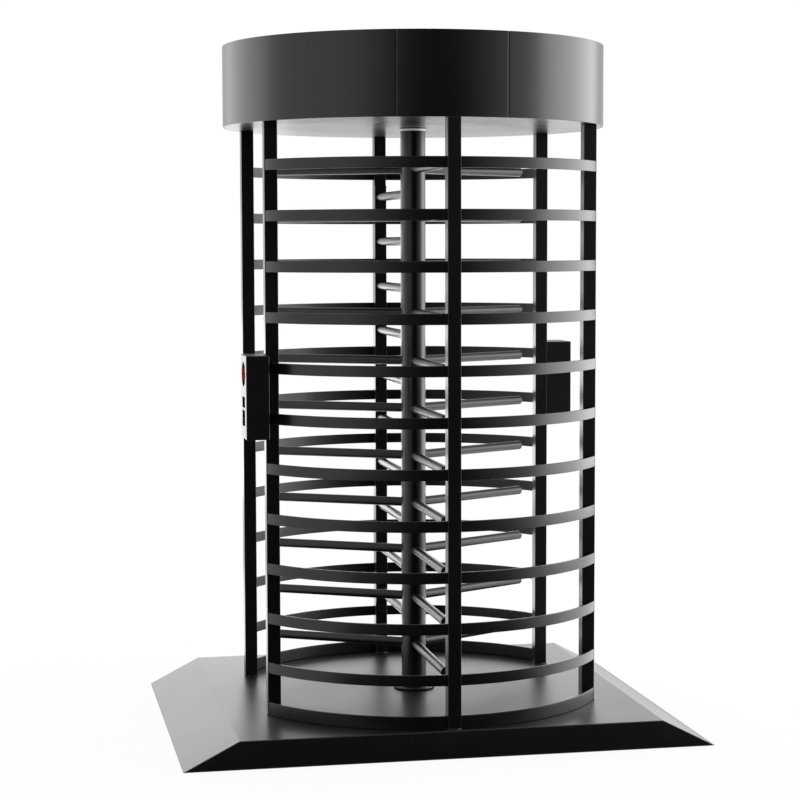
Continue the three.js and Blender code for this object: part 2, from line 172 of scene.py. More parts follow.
class Nodes:
    """A node tree that grows by one node at a time."""

    def __init__(self, tree):
        self.tree = tree

    def feed(self, target, value):
        if isinstance(value, Socket):
            self.tree.links.new(value.output, target)
        else:
            target.default_value = value

    def node(self, kind, settings=None, inputs=None, output=0):
        made = self.tree.nodes.new(kind)
        for name, value in (settings or {}).items():
            setattr(made, name, value)
        for name, value in (inputs or {}).items():
            self.feed(made.inputs[name], value)
        return Socket(self, made.outputs[output]) if made.outputs else None

    def mixed(self, factor, first, second):
        """A colour between two colours."""
        settings = {"data_type": "RGBA"}
        return self.node("ShaderNodeMix", settings, {0: factor, 6: first, 7: second}, output=2)

    def ramp(self, value, *stops):
        """A grey that runs between two stops, each a position and a level."""
        ramp = self.node("ShaderNodeValToRGB", None, {"Fac": value})
        for element, (position, level) in zip(ramp.output.node.color_ramp.elements, stops):
            element.position = position
            element.color = grey(level)
        return ramp

    def xyz(self, **parts):
        return self.node("ShaderNodeCombineXYZ", None, parts)

    def part(self, place, index):
        return self.node("ShaderNodeSeparateXYZ", None, {0: place}, output=index)

    def rectangle(self, width, height):
        kind = "GeometryNodeCurvePrimitiveQuadrilateral"
        return self.node(kind, {"mode": "RECTANGLE"}, {"Width": width, "Height": height})

    def copies(self, points, shape, **more):
        """The shape on every point."""
        inputs = {"Points": points, "Instance": shape, **more}
        return self.node("GeometryNodeInstanceOnPoints", None, inputs)


print("node helpers ready")

# %% [markdown]
# A finish is a material with one Principled shader. What is the same all over is set on the
# shader's own socket. What changes over the surface comes in through noise on the object's
# own coordinates, which stay put when a body turns. A noise's scale is its cells to the
# metre: 650 gives waves of a millimetre and a half.


# %% Helpers for finishes
class Finish(Nodes):
    """A material named for what it is on the turnstile."""

    def __init__(self, name):
        self.material = bpy.data.materials.new(name)
        self.material.use_nodes = True
        super().__init__(self.material.node_tree)
        self.shader = self.tree.nodes["Principled BSDF"]
        self.place = self.node("ShaderNodeTexCoord", output="Object")

    def noise(self, scale, detail=3.0):
        """Noise at one scale, or at three scales for a grain that runs one way."""
        place = self.place
        if isinstance(scale, tuple):
            place = self.node("ShaderNodeMapping", None, {"Vector": place, "Scale": scale})
            scale = 1.0
        inputs = {"Vector": place, "Scale": scale, "Detail": detail}
        return self.node("ShaderNodeTexNoise", None, inputs)

    def bump(self, height, strength, distance):
        inputs = {"Height": height, "Strength": strength, "Distance": distance}
        return self.node("ShaderNodeBump", None, inputs)

    def surface(self, **sockets):
        for name, value in sockets.items():
            self.feed(self.shader.inputs[name.replace("_", " ")], value)
        return self.material

    def show_mix(self, factor, first, second):
        """Shows a mix of two shaders in place of the Principled one."""
        mixed = self.node("ShaderNodeMixShader", None, {0: factor, 1: first, 2: second})
        self.feed(self.tree.nodes["Material Output"].inputs["Surface"], mixed)
        return self.material


print("finish helpers ready")

# %% [markdown]
# Nearly everything is powder coated black. Such a coat is a plain dielectric: almost no
# colour of its own, a soft gloss, and a fine skin like orange peel. What the eye reads as
# grey on it is the white room, mirrored more strongly at a glancing view. So the colour is
# very dark and the gloss does the work. Slow clouds in roughness keep large sheets alive.


# %% Powder coats
def powder_coat(name, level, roughness, peel=0.05, dust=0.05):
    finish = Finish(name)
    clouds = finish.noise(2.5, detail=4.0)
    skin = finish.noise(650.0, detail=2.0)
    specks = finish.ramp(finish.noise(240.0, detail=1.0), (0.68, 0.0), (0.78, 1.0))
    colour = finish.mixed(clouds, grey(level * 0.75), grey(level * 1.3))
    dusted = finish.mixed(specks * dust, colour, grey(level * 6.0, warmth=0.03))
    return finish.surface(
        Base_Color=dusted,
        Roughness=roughness + (clouds - 0.5) * 0.09 + (skin - 0.5) * 0.05,
        Normal=finish.bump(skin, peel, 0.2 * MM),
        IOR=1.5,
    )


frame_paint = powder_coat("frame_paint", level=0.003, roughness=0.3)
rotor_paint = powder_coat("rotor_paint", level=0.003, roughness=0.23, peel=0.02, dust=0.0)
canopy_paint = powder_coat("canopy_paint", level=0.003, roughness=0.29, peel=0.04)
arm_paint = powder_coat("arm_paint", level=0.003, roughness=0.33, peel=0.02, dust=0.0)
soffit_paint = powder_coat("soffit_paint", level=0.006, roughness=0.26, peel=0.02)
paints = [frame_paint, rotor_paint, canopy_paint, arm_paint, soffit_paint]
print("paints:", ", ".join(paint.name for paint in paints))

# %% [markdown]
# The platform is walked on. It has the same coat, with faint rubbed streaks along the way
# that people walk, which only show as a change of gloss.


# %% Platform finish
def trodden_coat():
    finish = Finish("platform_paint")
    clouds = finish.noise(1.8, detail=4.0)
    skin = finish.noise(520.0, detail=2.0)
    streaks = finish.noise((6.0, 60.0, 6.0), detail=5.0)
    scuffs = finish.ramp(streaks, (0.56, 0.0), (0.74, 1.0))
    colour = finish.mixed(clouds, grey(0.003), grey(0.006))
    return finish.surface(
        Base_Color=finish.mixed(scuffs * 0.25, colour, grey(0.012, warmth=0.04)),
        Roughness=0.37 + (clouds - 0.5) * 0.06 + scuffs * 0.03,
        Normal=finish.bump(skin, 0.06, 0.25 * MM),
        IOR=1.5,
    )


platform_paint = trodden_coat()
print("platform:", platform_paint.name)

# %% [markdown]
# The lock in the canopy is bare machined steel and zinc plate. Machined steel gets fine
# lines, from noise that is squeezed in one direction. Zinc gets cells like frost flowers.

# %% Metals
STEEL_LEVEL = 0.56


def machined_steel():
    finish = Finish("turned_steel")
    lines = finish.noise((40.0, 40.0, 900.0), detail=6.0)
    stains = finish.noise(9.0, detail=4.0)
    dull, bright = grey(STEEL_LEVEL * 0.86), grey(STEEL_LEVEL * 1.06, warmth=0.01)
    return finish.surface(
        Base_Color=finish.mixed(stains, dull, bright),
        Roughness=0.24 + lines * 0.14 + stains * 0.06,
        Metallic=1.0,
        Normal=finish.bump(lines, 0.12, 0.1 * MM),
    )


def zinc_plate():
    finish = Finish("zinc_plate")
    inputs = {"Vector": finish.place, "Scale": 130.0}
    flowers = finish.node("ShaderNodeTexVoronoi", None, inputs, output="Color")
    tone = finish.node("ShaderNodeSeparateColor", None, {"Color": flowers})
    fine = finish.noise(300.0)
    return finish.surface(
        Base_Color=finish.mixed(tone, grey(0.56, warmth=0.02), grey(0.63, warmth=0.04)),
        Roughness=0.34 + tone * 0.08 + (fine - 0.5) * 0.05,
        Metallic=1.0,
        Normal=finish.bump(tone * 0.5 + fine * 0.5, 0.08, 0.1 * MM),
    )


turned_steel = machined_steel()
zinc = zinc_plate()
print("metals:", turned_steel.name, zinc.name)

# %% [markdown]
# The readers are black plastic cases with a fine spark eroded grain, a dark glass display
# with a matrix of small lamps, and two dark panes. A red cross in the matrix is the plain
# sign for no entry. The lamps that are off show as faint dots.

# %% Plastic, glass and lamps
GLASS_LEVEL = 0.002


def moulded_plastic():
    finish = Finish("reader_case")
    grain = finish.noise(1400.0, detail=2.0)
    clouds = finish.noise(14.0)
    return finish.surface(
        Base_Color=finish.mixed(clouds, grey(0.003), grey(0.005)),
        Roughness=0.34 + (grain - 0.5) * 0.1 + (clouds - 0.5) * 0.05,
        Normal=finish.bump(grain, 0.1, 0.1 * MM),
        IOR=1.42,
    )


def dark_glass(name, roughness):
    """Dark glass under a film that takes the glare away, so it stays black from the side."""
    finish = Finish(name)
    smears = finish.noise((30.0, 90.0, 18.0), detail=4.0)
    finish.surface(
        Base_Color=finish.mixed(smears, grey(GLASS_LEVEL), grey(GLASS_LEVEL * 1.8)),
        Roughness=roughness + smears * 0.12,
    )
    glance = finish.node("ShaderNodeLayerWeight", None, {"Blend": 0.5}, output="Facing")
    film = finish.ramp(glance, (0.3, 0.0), (0.65, 1.0))
    glossy = Socket(finish, finish.shader.outputs["BSDF"])
    matt = finish.node("ShaderNodeBsdfDiffuse", None, {"Color": grey(GLASS_LEVEL)})
    return finish.show_mix(film, glossy, matt)


def lamp_dot(name, colour, glow):
    finish = Finish(name)
    flicker = finish.noise(900.0)
    dim = tuple(channel * 0.7 for channel in colour[:3]) + (1.0,)
    return finish.surface(
        Base_Color=finish.mixed(flicker, dim, colour),
        Roughness=0.4 + flicker * 0.1,
        Specular_IOR_Level=0.0,
        Emission_Color=finish.mixed(flicker, dim, colour),
        Emission_Strength=glow,
    )


# A plain white finish with fine turned lines, for the thin ring under the canopy.
def white_ring_finish():
    finish = Finish("white_nylon")
    turned = finish.noise((60.0, 60.0, 1500.0))
    return finish.surface(
        Base_Color=finish.mixed(turned, grey(0.88, warmth=0.01), grey(0.93, warmth=0.01)),
        Roughness=0.45 + turned * 0.12,
        Normal=finish.bump(turned, 0.1, 0.1 * MM),
    )


reader_plastic = moulded_plastic()
white_nylon = white_ring_finish()
display_glass = dark_glass("display_glass", roughness=0.2)
window_glass = dark_glass("window_glass", roughness=0.1)
lamps_on = lamp_dot("display_lamps_on", (0.7, 0.01, 0.008, 1.0), glow=0.8)
lamps_off = lamp_dot("display_lamps_off", (0.012, 0.008, 0.008, 1.0), glow=0.0)
print("reader:", reader_plastic.name, display_glass.name, window_glass.name, lamps_on.name)

# %% [markdown]
# Two geometry trees do most of the repeats. The first sweeps a flat bar along an arc and trims
# its ends to one straight line, as a rail is trimmed to meet a post. The second copies what
# it is given up a stack of levels and round the axis. Both name their inputs, realize their
# copies and set the material, because the export keeps only real faces.


# %% Geometry trees
def new_tree(name, **sockets):
    """A tree with named inputs, the last a material. Returns its nodes and its inputs."""
    tree = bpy.data.node_groups.new(name, "GeometryNodeTree")
    tree.interface.new_socket(name="Geometry", in_out="OUTPUT", socket_type="NodeSocketGeometry")
    sockets["Material"] = "Material"
    for label, kind in sockets.items():
        tree.interface.new_socket(name=label, in_out="INPUT", socket_type="NodeSocket" + kind)
    nodes = Nodes(tree)
    source = tree.nodes.new("NodeGroupInput")
    return nodes, [Socket(nodes, source.outputs[label]) for label in sockets]


def close_tree(nodes, shape, material):
    """Ends a tree in Realize Instances, smooth faces and Set Material."""
    real = nodes.node("GeometryNodeRealizeInstances", None, {"Geometry": shape})
    smooth = nodes.node("GeometryNodeSetShadeSmooth", None, {"Geometry": real})
    finished = {"Geometry": smooth, "Material": material}
    painted = nodes.node("GeometryNodeSetMaterial", None, finished)
    nodes.node("NodeGroupOutput", None, {"Geometry": painted})
    return nodes.tree


def arc_bar_tree():
    """A flat bar on an arc that faces -Y, kept where y is below minus the cut."""
    sizes = dict.fromkeys(("Radius", "Thickness", "Height", "Bottom", "Cut"), "Float")
    nodes, inputs = new_tree("arc_bar", **sizes, Steps="Int")
    radius, thickness, height, bottom, cut, steps, material = inputs
    ratio = cut / radius
    half_turn = ratio.math("ARCCOSINE", ratio)
    sizes = {"Resolution": steps, "Radius": radius - thickness * 0.5}
    sizes.update({"Start Angle": -math.pi / 2 - half_turn, "Sweep Angle": half_turn * 2.0})
    arc = nodes.node("GeometryNodeCurveArc", {"mode": "RADIUS"}, sizes)
    sweep = {"Curve": arc, "Profile Curve": nodes.rectangle(thickness, height), "Fill Caps": True}
    bar = nodes.node("GeometryNodeCurveToMesh", None, sweep)
    place = nodes.node("GeometryNodeInputPosition")
    x, y, z = (nodes.part(place, i) for i in range(3))
    moved = nodes.xyz(X=x, Y=y.least(cut * -1.0), Z=z + height * 0.5 + bottom)
    shape = nodes.node("GeometryNodeSetPosition", None, {"Geometry": bar, "Position": moved})
    return close_tree(nodes, shape, material)


def stack_tree():
    """Copies its own geometry up by levels and round the upright axis."""
    sizes = {"Levels": "Int", "Pitch": "Float", "Copies": "Int", "First": "Float", "Turn": "Float"}
    nodes, inputs = new_tree("stack", Geometry="Geometry", **sizes)
    shape, levels, pitch, copies, first, turn, material = inputs
    along = {"mode": "OFFSET"}
    steps = {"Count": levels, "Offset": nodes.xyz(Z=pitch)}
    column = nodes.copies(nodes.node("GeometryNodeMeshLine", along, steps), shape)
    steps = {"Count": copies, "Offset": (0, 0, 0)}
    spots = nodes.node("GeometryNodeMeshLine", along, steps)
    turned = nodes.xyz(Z=first + nodes.node("GeometryNodeInputIndex") * turn)
    return close_tree(nodes, nodes.copies(spots, column, Rotation=turned), material)


ARC_BAR = arc_bar_tree()
STACK = stack_tree()
print("trees:", ARC_BAR.name, STACK.name)

# %% [markdown]
# A third tree sets copies on the points of a small mesh, for the posts and their weld beads,
# which stand at six places that no turn gives. A fourth lays out the display's lamps.

# %% Trees for posts and lamps
CROSS_SHARE = 0.62


def on_points_tree():
    """A block, or a bead round its foot, on every point of the mesh."""
    sizes = dict.fromkeys(("Width", "Height", "Bead"), "Float")
    nodes, inputs = new_tree("on_points", Geometry="Geometry", **sizes)
    points, width, height, bead, material = inputs
    size = {"Size": nodes.xyz(X=width, Y=width, Z=height)}
    lifted = {"Geometry": nodes.node("GeometryNodeMeshCube", None, size)}
    lifted["Translation"] = nodes.xyz(Z=height * 0.5)
    post = nodes.node("GeometryNodeTransform", None, lifted)
    rope = {"Resolution": 10, "Radius": bead}
    seam = {"Profile Curve": nodes.node("GeometryNodeCurvePrimitiveCircle", None, rope)}
    seam["Curve"] = nodes.rectangle(width, width)
    weld = nodes.node("GeometryNodeCurveToMesh", None, seam)
    either = {"Switch": bead > 0.0, "False": post, "True": weld}
    choice = nodes.node("GeometryNodeSwitch", {"input_type": "GEOMETRY"}, either)
    return close_tree(nodes, nodes.copies(points, choice), material)


def lamp_matrix_tree():
    """The mesh as one lamp, on a square lattice inside a circle. Lit lamps form a cross."""
    sizes = {"Count": "Int", **dict.fromkeys(("Span", "Edge", "Arm", "Lit"), "Float")}
    nodes, inputs = new_tree("lamp_matrix", Geometry="Geometry", **sizes)
    lamp, count, span, edge, arm, lit, material = inputs
    lattice = {"Size X": span, "Size Y": span, "Vertices X": count, "Vertices Y": count}
    grid = nodes.node("GeometryNodeMeshGrid", None, lattice)
    place = nodes.node("GeometryNodeInputPosition")
    x, y = (abs(nodes.part(place, i)) for i in (0, 1))
    inside = (x * x + y * y) < edge * edge
    cross = (abs(x - y) < arm) * (x.most(y) < edge * CROSS_SHARE)
    wanted = inside * (abs(cross - lit) < 0.5)
    return close_tree(nodes, nodes.copies(grid, lamp, Selection=wanted), material)


ON_POINTS = on_points_tree()
LAMP_MATRIX = lamp_matrix_tree()
print("trees:", ON_POINTS.name, LAMP_MATRIX.name)

# %% [markdown]
# Each piece starts as an object with a simple mesh. Modifiers are stacked on it in the order
# of the work: shape, round edges, true normals, copies. Then the evaluated result becomes
# the piece's plain mesh and the modifiers go.


# %% Helpers for pieces
def start(name, vertices=(), faces=()):
    """A smooth shaded piece, still to be shaped."""
    mesh = bpy.data.meshes.new(name)
    mesh.from_pydata(vertices, [], faces)
    mesh.shade_smooth()
    piece = bpy.data.objects.new(name, mesh)
    bpy.context.scene.collection.objects.link(piece)
    return piece


def use_tree(piece, tree, **values):
    """Adds a tree as a modifier. Each input is set by its identifier."""
    modifier = piece.modifiers.new(tree.name, "NODES")
    modifier.node_group = tree
    items = tree.interface.items_tree
    names = {item.name: item.identifier for item in items if item.in_out == "INPUT"}
    for label, value in values.items():
        modifier[names[label]] = value


def round_edges(piece, width, segments=2, least_angle=40):
    """Rounds the edges whose faces meet at more than an angle in degrees."""
    bevel = piece.modifiers.new("round_edges", "BEVEL")
    bevel.width = width
    bevel.segments = segments
    bevel.limit_method = "ANGLE"
    bevel.angle_limit = math.radians(least_angle)
    true_normals(piece)


def true_normals(piece):
    """Flat faces stay flat under smooth shading."""
    piece.modifiers.new("true_normals", "WEIGHTED_NORMAL").weight = 100


def settle(piece, body, nodes=(), material=None, place=None):
    """Applies the modifiers, moves the mesh to its place, sets the ride and prints the size."""
    graph = bpy.context.evaluated_depsgraph_get()
    mesh = bpy.data.meshes.new_from_object(piece.evaluated_get(graph), depsgraph=graph)
    piece.modifiers.clear()
    piece.data = mesh
    if place:
        mesh.transform(place)
    if material:
        mesh.materials.clear()
        mesh.materials.append(material)
    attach(piece, body)
    if nodes:
        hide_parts(*nodes)
    corners = [vertex.co for vertex in mesh.vertices]
    triangles = sum(len(face.vertices) - 2 for face in mesh.polygons)
    print(piece.name, triangles, rounded(map(min, *corners)), rounded(map(max, *corners)))


def block(name, low, high):
    """A box between two corners, with its faces outwards."""
    spans = list(zip(low, high))
    corners = [(x, y, z) for z in spans[2] for y in spans[1] for x in spans[0]]
    faces = [(0, 2, 3, 1), (4, 5, 7, 6), (0, 1, 5, 4), (2, 6, 7, 3), (0, 4, 6, 2), (1, 3, 7, 5)]
    return start(name, corners, faces)


def lathe(name, outline, sides, closed=False):
    """Turns (radius, height) points about the upright axis. An open outline starts and ends
    on the axis. A closed one makes a ring."""
    angles = [2 * math.pi * i / sides for i in range(sides)]
    vertices, rings = [], []
    for radius, height in outline:
        if radius == 0:
            rings.append([len(vertices)] * sides)
            vertices.append((0, 0, height))
        else:
            rings.append([len(vertices) + i for i in range(sides)])
            vertices += [(radius * math.cos(a), radius * math.sin(a), height) for a in angles]
    faces = []
    for lower, upper in zip(rings, rings[1:] + ([rings[0]] if closed else [])):
        for i in range(sides):
            j = (i + 1) % sides
            corners = [lower[i], lower[j], upper[j], upper[i]]
            faces.append(tuple(dict.fromkeys(corners)))
    return start(name, vertices, faces)


def lay_along_x(piece, z):
    """Turns an upright piece down so that its height runs along X, at a height z."""
    piece.data.transform(Matrix.Translation((0, 0, z)) @ Matrix.Rotation(math.pi / 2, 4, "Y"))


print("piece helpers ready")

# %% [markdown]
# Sizes are read from the frame wherever a solid's box gives them, so that each piece sits
# where its solid does.

# %% Sizes
deck_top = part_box("post_front_left")[0].z
soffit_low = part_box("soffit_left")[0].z
soffit_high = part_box("soffit_left")[1].z
canopy_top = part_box("top_cover")[1].z
cage_radius = -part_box("rail_front_01")[0].y
rail_cut = -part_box("rail_front_01")[1].y
rail_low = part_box("rail_front_01")[0].z
rail_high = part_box("rail_front_01")[1].z
level_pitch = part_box("rail_front_02")[0].z - rail_low
first_level = (rail_low + rail_high) / 2
LEVELS = 11
RAIL_THICKNESS = 10 * MM
POST_SIZE = 45 * MM
SHAFT_RADIUS = 44.5 * MM
ARM_RADIUS = 16 * MM
canopy_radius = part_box("fascia_right")[1].x
print("deck, soffit and top:", rounded([deck_top, soffit_low, canopy_top]))
print("cage, cut and pitch:", rounded([cage_radius, rail_cut, level_pitch]))

# %% [markdown]
# The platform is folded from thick sheet: a flat deck with a ramp on the two sides that
# people walk over, and upright front and back faces. Its folds have a small radius, which
# draws a thin bright line along each edge in the picture. A ramp meets the deck at only 27
# degrees, so the folds are rounded from 20 degrees on.

# %% Platform
DECK_HALF_LENGTH = 0.715
PLATFORM_EDGE = 3.5 * MM
low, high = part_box("platform")
outline = [(low.x, low.z), (high.x, low.z)]
outline += [(DECK_HALF_LENGTH, high.z), (-DECK_HALF_LENGTH, high.z)]
vertices = [(x, y, z) for y in (low.y, high.y) for x, z in outline]
faces = [(0, 1, 2, 3), (7, 6, 5, 4), (0, 4, 5, 1), (1, 5, 6, 2), (2, 6, 7, 3), (3, 7, 4, 0)]
platform = start("platform_shell", vertices, faces)
round_edges(platform, PLATFORM_EDGE, segments=3, least_angle=20)
settle(platform, "cage", ["platform"], platform_paint)

# %% [markdown]
# Six square posts stand on the deck: four at the corners of the walkway and one in the
# middle of each arc of rails. Each has a weld bead round its foot.

# %% Posts
POST_EDGE = 2.2 * MM
POST_BEAD = 2.4 * MM
BEAD_LIFT = 0.8 * MM
POST_NODES = [f"post_{end}_{side}" for end in ("front", "rear") for side in ("left", "right")]
POST_NODES += ["post_front_centre", "post_rear_centre"]


def post_feet(height):
    centres = [(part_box(node)[0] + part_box(node)[1]) / 2 for node in POST_NODES]
    return [(centre.x, centre.y, height) for centre in centres]


posts = start("posts", post_feet(deck_top))
post_sizes = {"Width": POST_SIZE, "Height": soffit_low - deck_top}
use_tree(posts, ON_POINTS, Bead=0.0, Material=frame_paint, **post_sizes)
round_edges(posts, POST_EDGE, segments=3)
settle(posts, "cage", POST_NODES)

beads = start("post_weld_beads", post_feet(deck_top + BEAD_LIFT))
use_tree(beads, ON_POINTS, Width=POST_SIZE, Height=0.0, Bead=POST_BEAD, Material=frame_paint)
settle(beads, "cage")

# %% [markdown]
# Eleven flat rails on each side are rolled to one radius. They pass through the middle post
# and are trimmed to butt against the corner posts. The foot rings on the deck are rolled the
# same way, from a taller bar.

# %% Rails
RAIL_EDGE = 1.6 * MM
FOOT_RING_EDGE = 2.6 * MM
RAIL_STEPS = 64


def stacked(piece, material, levels=1, copies=1, first_turn=0.0):
    """Copies a piece up by levels and round the axis, in even turns."""
    sizes = {"Levels": levels, "Pitch": level_pitch, "Copies": copies, "First": first_turn}
    use_tree(piece, STACK, Turn=2 * math.pi / copies, Material=material, **sizes)


def arc_bars(name, sizes, low_z, high_z, edge, material, levels=1, first_turn=0.0):
    """Two opposite columns of bars on an arc. The heights are those of the lowest bar."""
    piece = start(name)
    heights = {"Height": high_z - low_z, "Bottom": low_z}
    use_tree(piece, ARC_BAR, Material=material, **sizes, **heights)
    round_edges(piece, edge)
    stacked(piece, material, levels, copies=2, first_turn=first_turn)
    return piece


rail = {"Radius": cage_radius, "Thickness": RAIL_THICKNESS, "Cut": rail_cut, "Steps": RAIL_STEPS}
rails = arc_bars("rails", rail, rail_low, rail_high, RAIL_EDGE, frame_paint, LEVELS)
rail_nodes = [f"rail_{side}_{i + 1:02d}" for side in ("front", "rear") for i in range(LEVELS)]
settle(rails, "cage", rail_nodes)

low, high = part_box("foot_ring_front")
rings = arc_bars("foot_rings", rail, low.z, high.z, FOOT_RING_EDGE, frame_paint)
settle(rings, "cage", ["foot_ring_front", "foot_ring_rear"])

# %% [markdown]
# The rotor is a thick tube with three wings of arms. An arm is a thin tube with a closed,
# rounded end and a weld where it enters the shaft. One arm is turned on a lathe, laid down
# along X, and copied eleven levels up and three times round.

# %% Rotor
SHAFT_EDGE = 1.5 * MM
WELD = 1.0 * MM
ARM_ROOT = SHAFT_RADIUS - 5.2 * MM
TUBE_SIDES = 40
low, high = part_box("rotor_shaft")
r = SHAFT_RADIUS
outline = [(0, low.z), (r - SHAFT_EDGE, low.z), (r - 0.4 * MM, low.z + 0.5 * MM)]
outline += [(r, low.z + SHAFT_EDGE), (r, high.z - SHAFT_EDGE), (r - SHAFT_EDGE, high.z)]
shaft = lathe("shaft", outline + [(0, high.z)], sides=96)
true_normals(shaft)
settle(shaft, "rotor", ["rotor_shaft"], rotor_paint)


def tube_outline(root, tip):
    """Outline of a tube from its weld at the root to its rounded tip."""
    r, bead = ARM_RADIUS, WELD
    return [
        (0, root),
        (r + bead, root),
        (r + bead, root + 1.2 * bead),
        (r + 0.72 * bead, root + 2.0 * bead),
        (r + 0.2 * bead, root + 2.7 * bead),
        (r, root + 3.3 * bead),
        (r, tip - 3.0 * MM),
        (r - 0.3 * MM, tip - 1.6 * MM),
        (r - 1.1 * MM, tip - 0.6 * MM),
        (r - 2.4 * MM, tip),
        (0, tip),
    ]


arm_reach = -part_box("rotor_wing_front")[0].y
arms = lathe("arms", tube_outline(ARM_ROOT, arm_reach), sides=TUBE_SIDES)
lay_along_x(arms, first_level)
true_normals(arms)
stacked(arms, arm_paint, levels=LEVELS, copies=3, first_turn=-math.pi / 2)
settle(arms, "rotor", ["rotor_wing_front", "rotor_wing_right", "rotor_wing_left"])

# %% [markdown]
# The comb is the same tube, welded to a flat strip on the rear post, half a level higher, so
# that the arms pass between its tubes.

# %% Comb
STRIP_THICKNESS = 8 * MM
STRIP_EDGE = 1.2 * MM
comb_low, comb_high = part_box("comb_barrier")
strip_front = comb_high.y - STRIP_THICKNESS
half = POST_SIZE / 2
strip = block("comb_strip", (-half, strip_front, comb_low.z), (half, comb_high.y, comb_high.z))
round_edges(strip, STRIP_EDGE)
settle(strip, "cage", ["comb_barrier"], frame_paint)

comb_reach = strip_front - comb_low.y
tubes = lathe("comb_tubes", tube_outline(0.0, comb_reach), sides=TUBE_SIDES)
lay_along_x(tubes, first_level + level_pitch / 2)
facing_front = Matrix.Rotation(-math.pi / 2, 4, "Z")
tubes.data.transform(Matrix.Translation((0, strip_front, 0)) @ facing_front)
true_normals(tubes)
stacked(tubes, frame_paint, levels=LEVELS - 1)
settle(tubes, "cage")

# %% [markdown]
# The shaft turns in a round flange on the deck, with a well rounded rim. Just under the
# canopy it wears a thin white ring, which draws the bright line in the picture, with a dark
# dust collar above it that runs up into the opening.

# %% Floor bearing and top ring
FLANGE_HEIGHT = 10 * MM
RING_DROP = 3.5 * MM
RING_HEIGHT = 7 * MM
RING_OVERLAP = 0.2 * MM
COLLAR_RISE = 6 * MM
flange_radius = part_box("floor_bearing")[1].x
flange_top = deck_top + FLANGE_HEIGHT
rim = [(0.0, 5.0), (0.4, 3.1), (1.5, 1.5), (3.1, 0.4), (5.0, 0.0)]
rim = [(flange_radius - inward * MM, flange_top - down * MM) for inward, down in rim]
outline = [(0, deck_top), (flange_radius, deck_top)] + rim + [(0, flange_top)]
flange = lathe("floor_flange", outline, sides=96)
true_normals(flange)
settle(flange, "cage", ["floor_bearing"], frame_paint)


def band(name, low_z, high_z, thickness):
    """A ring round the shaft with chamfered edges."""
    inner, outer = SHAFT_RADIUS - RING_OVERLAP, SHAFT_RADIUS + thickness
    edge = thickness * 0.5
    outline = [(inner, low_z), (outer - edge, low_z), (outer, low_z + edge)]
    outline += [(outer, high_z - edge), (outer - edge, high_z), (inner, high_z)]
    piece = lathe(name, outline, sides=96, closed=True)
    true_normals(piece)
    return piece


ring_top = soffit_low - RING_DROP
white_ring = band("shaft_white_ring", ring_top - RING_HEIGHT, ring_top, thickness=0.6 * MM)
settle(white_ring, "rotor", material=white_nylon)
collar_top = soffit_low + COLLAR_RISE
dust_collar = band("shaft_dust_collar", ring_top, collar_top, thickness=0.9 * MM)
settle(dust_collar, "rotor", material=rotor_paint)

# %% [markdown]
# The canopy's side is four curved sheets: two wide ones over the walking sides and two
# narrow ones over the middle posts. Each is folded in at its edges, the narrow ones with
# the rounder fold, so a fine bright line runs beside each joint. The wide sheets are bars on
# an arc, thick enough for the fold. The narrow ones are raised from an outline in plan, which
# carries the round fold, because a bevel can't be rounder than half of the sheet's end.

# %% Canopy sides
FOLD = 8 * MM
SIDE_FOLD_RADIUS = 1.0 * MM
END_FOLD_RADIUS = 7 * MM
SIDE_STEPS = 128
END_STEPS = 32
FILLET_STEPS = 6
side_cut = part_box("fascia_right")[0].x
end_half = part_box("fascia_front")[1].x
side_bar = {"Radius": canopy_radius, "Thickness": FOLD, "Cut": side_cut, "Steps": SIDE_STEPS}
side_sheets = arc_bars(
    "canopy_side_sheets",
    side_bar,
    soffit_low,
    canopy_top,
    SIDE_FOLD_RADIUS,
    canopy_paint,
    first_turn=math.pi / 2,
)
settle(side_sheets, "cage", ["fascia_left", "fascia_right"])


def rounded_sheet(name, points, low_z, high_z):
    """A flat sheet between two heights from a closed outline that runs anticlockwise."""
    count = len(points)
    vertices = [(x, y, z) for z in (low_z, high_z) for x, y in points]
    sides = [(i, (i + 1) % count, count + (i + 1) % count, count + i) for i in range(count)]
    caps = [tuple(reversed(range(count))), tuple(range(count, 2 * count))]
    return start(name, vertices, sides + caps)


def arc_points(radius, first, last, steps):
    """Points in plan on an arc round the axis, between two angles."""
    angles = [first + (last - first) * i / steps for i in range(steps + 1)]
    return [(radius * math.cos(a), radius * math.sin(a)) for a in angles]


def end_outline():
    """The plan of a narrow sheet on the rear, with a fillet at both of its outer corners."""
    r = END_FOLD_RADIUS
    centre_x = end_half - r
    centre_y = math.sqrt((canopy_radius - r) ** 2 - centre_x**2)
    lean = math.atan2(centre_y, centre_x)
    arc = arc_points(canopy_radius, lean, math.pi - lean, END_STEPS)
    fillet = [(centre_x + x, centre_y + y) for x, y in arc_points(r, 0.0, lean, FILLET_STEPS)]
    inner_lean = math.acos(end_half / (canopy_radius - FOLD))
    inner = arc_points(canopy_radius - FOLD, math.pi - inner_lean, inner_lean, END_STEPS)
    return fillet[:-1] + arc + [(-x, y) for x, y in reversed(fillet[:-1])] + inner


end_sheets = rounded_sheet("canopy_end_sheets", end_outline(), soffit_low, canopy_top)
round_edges(end_sheets, SIDE_FOLD_RADIUS)
stacked(end_sheets, canopy_paint, copies=2)
settle(end_sheets, "cage", ["fascia_front", "fascia_rear"])

# %% [markdown]
# The canopy's floor is three flat sheets inside that fold. Their straight joints show as
# thin lines. The middle sheet has a round opening for the shaft, so it is cut by a boolean.

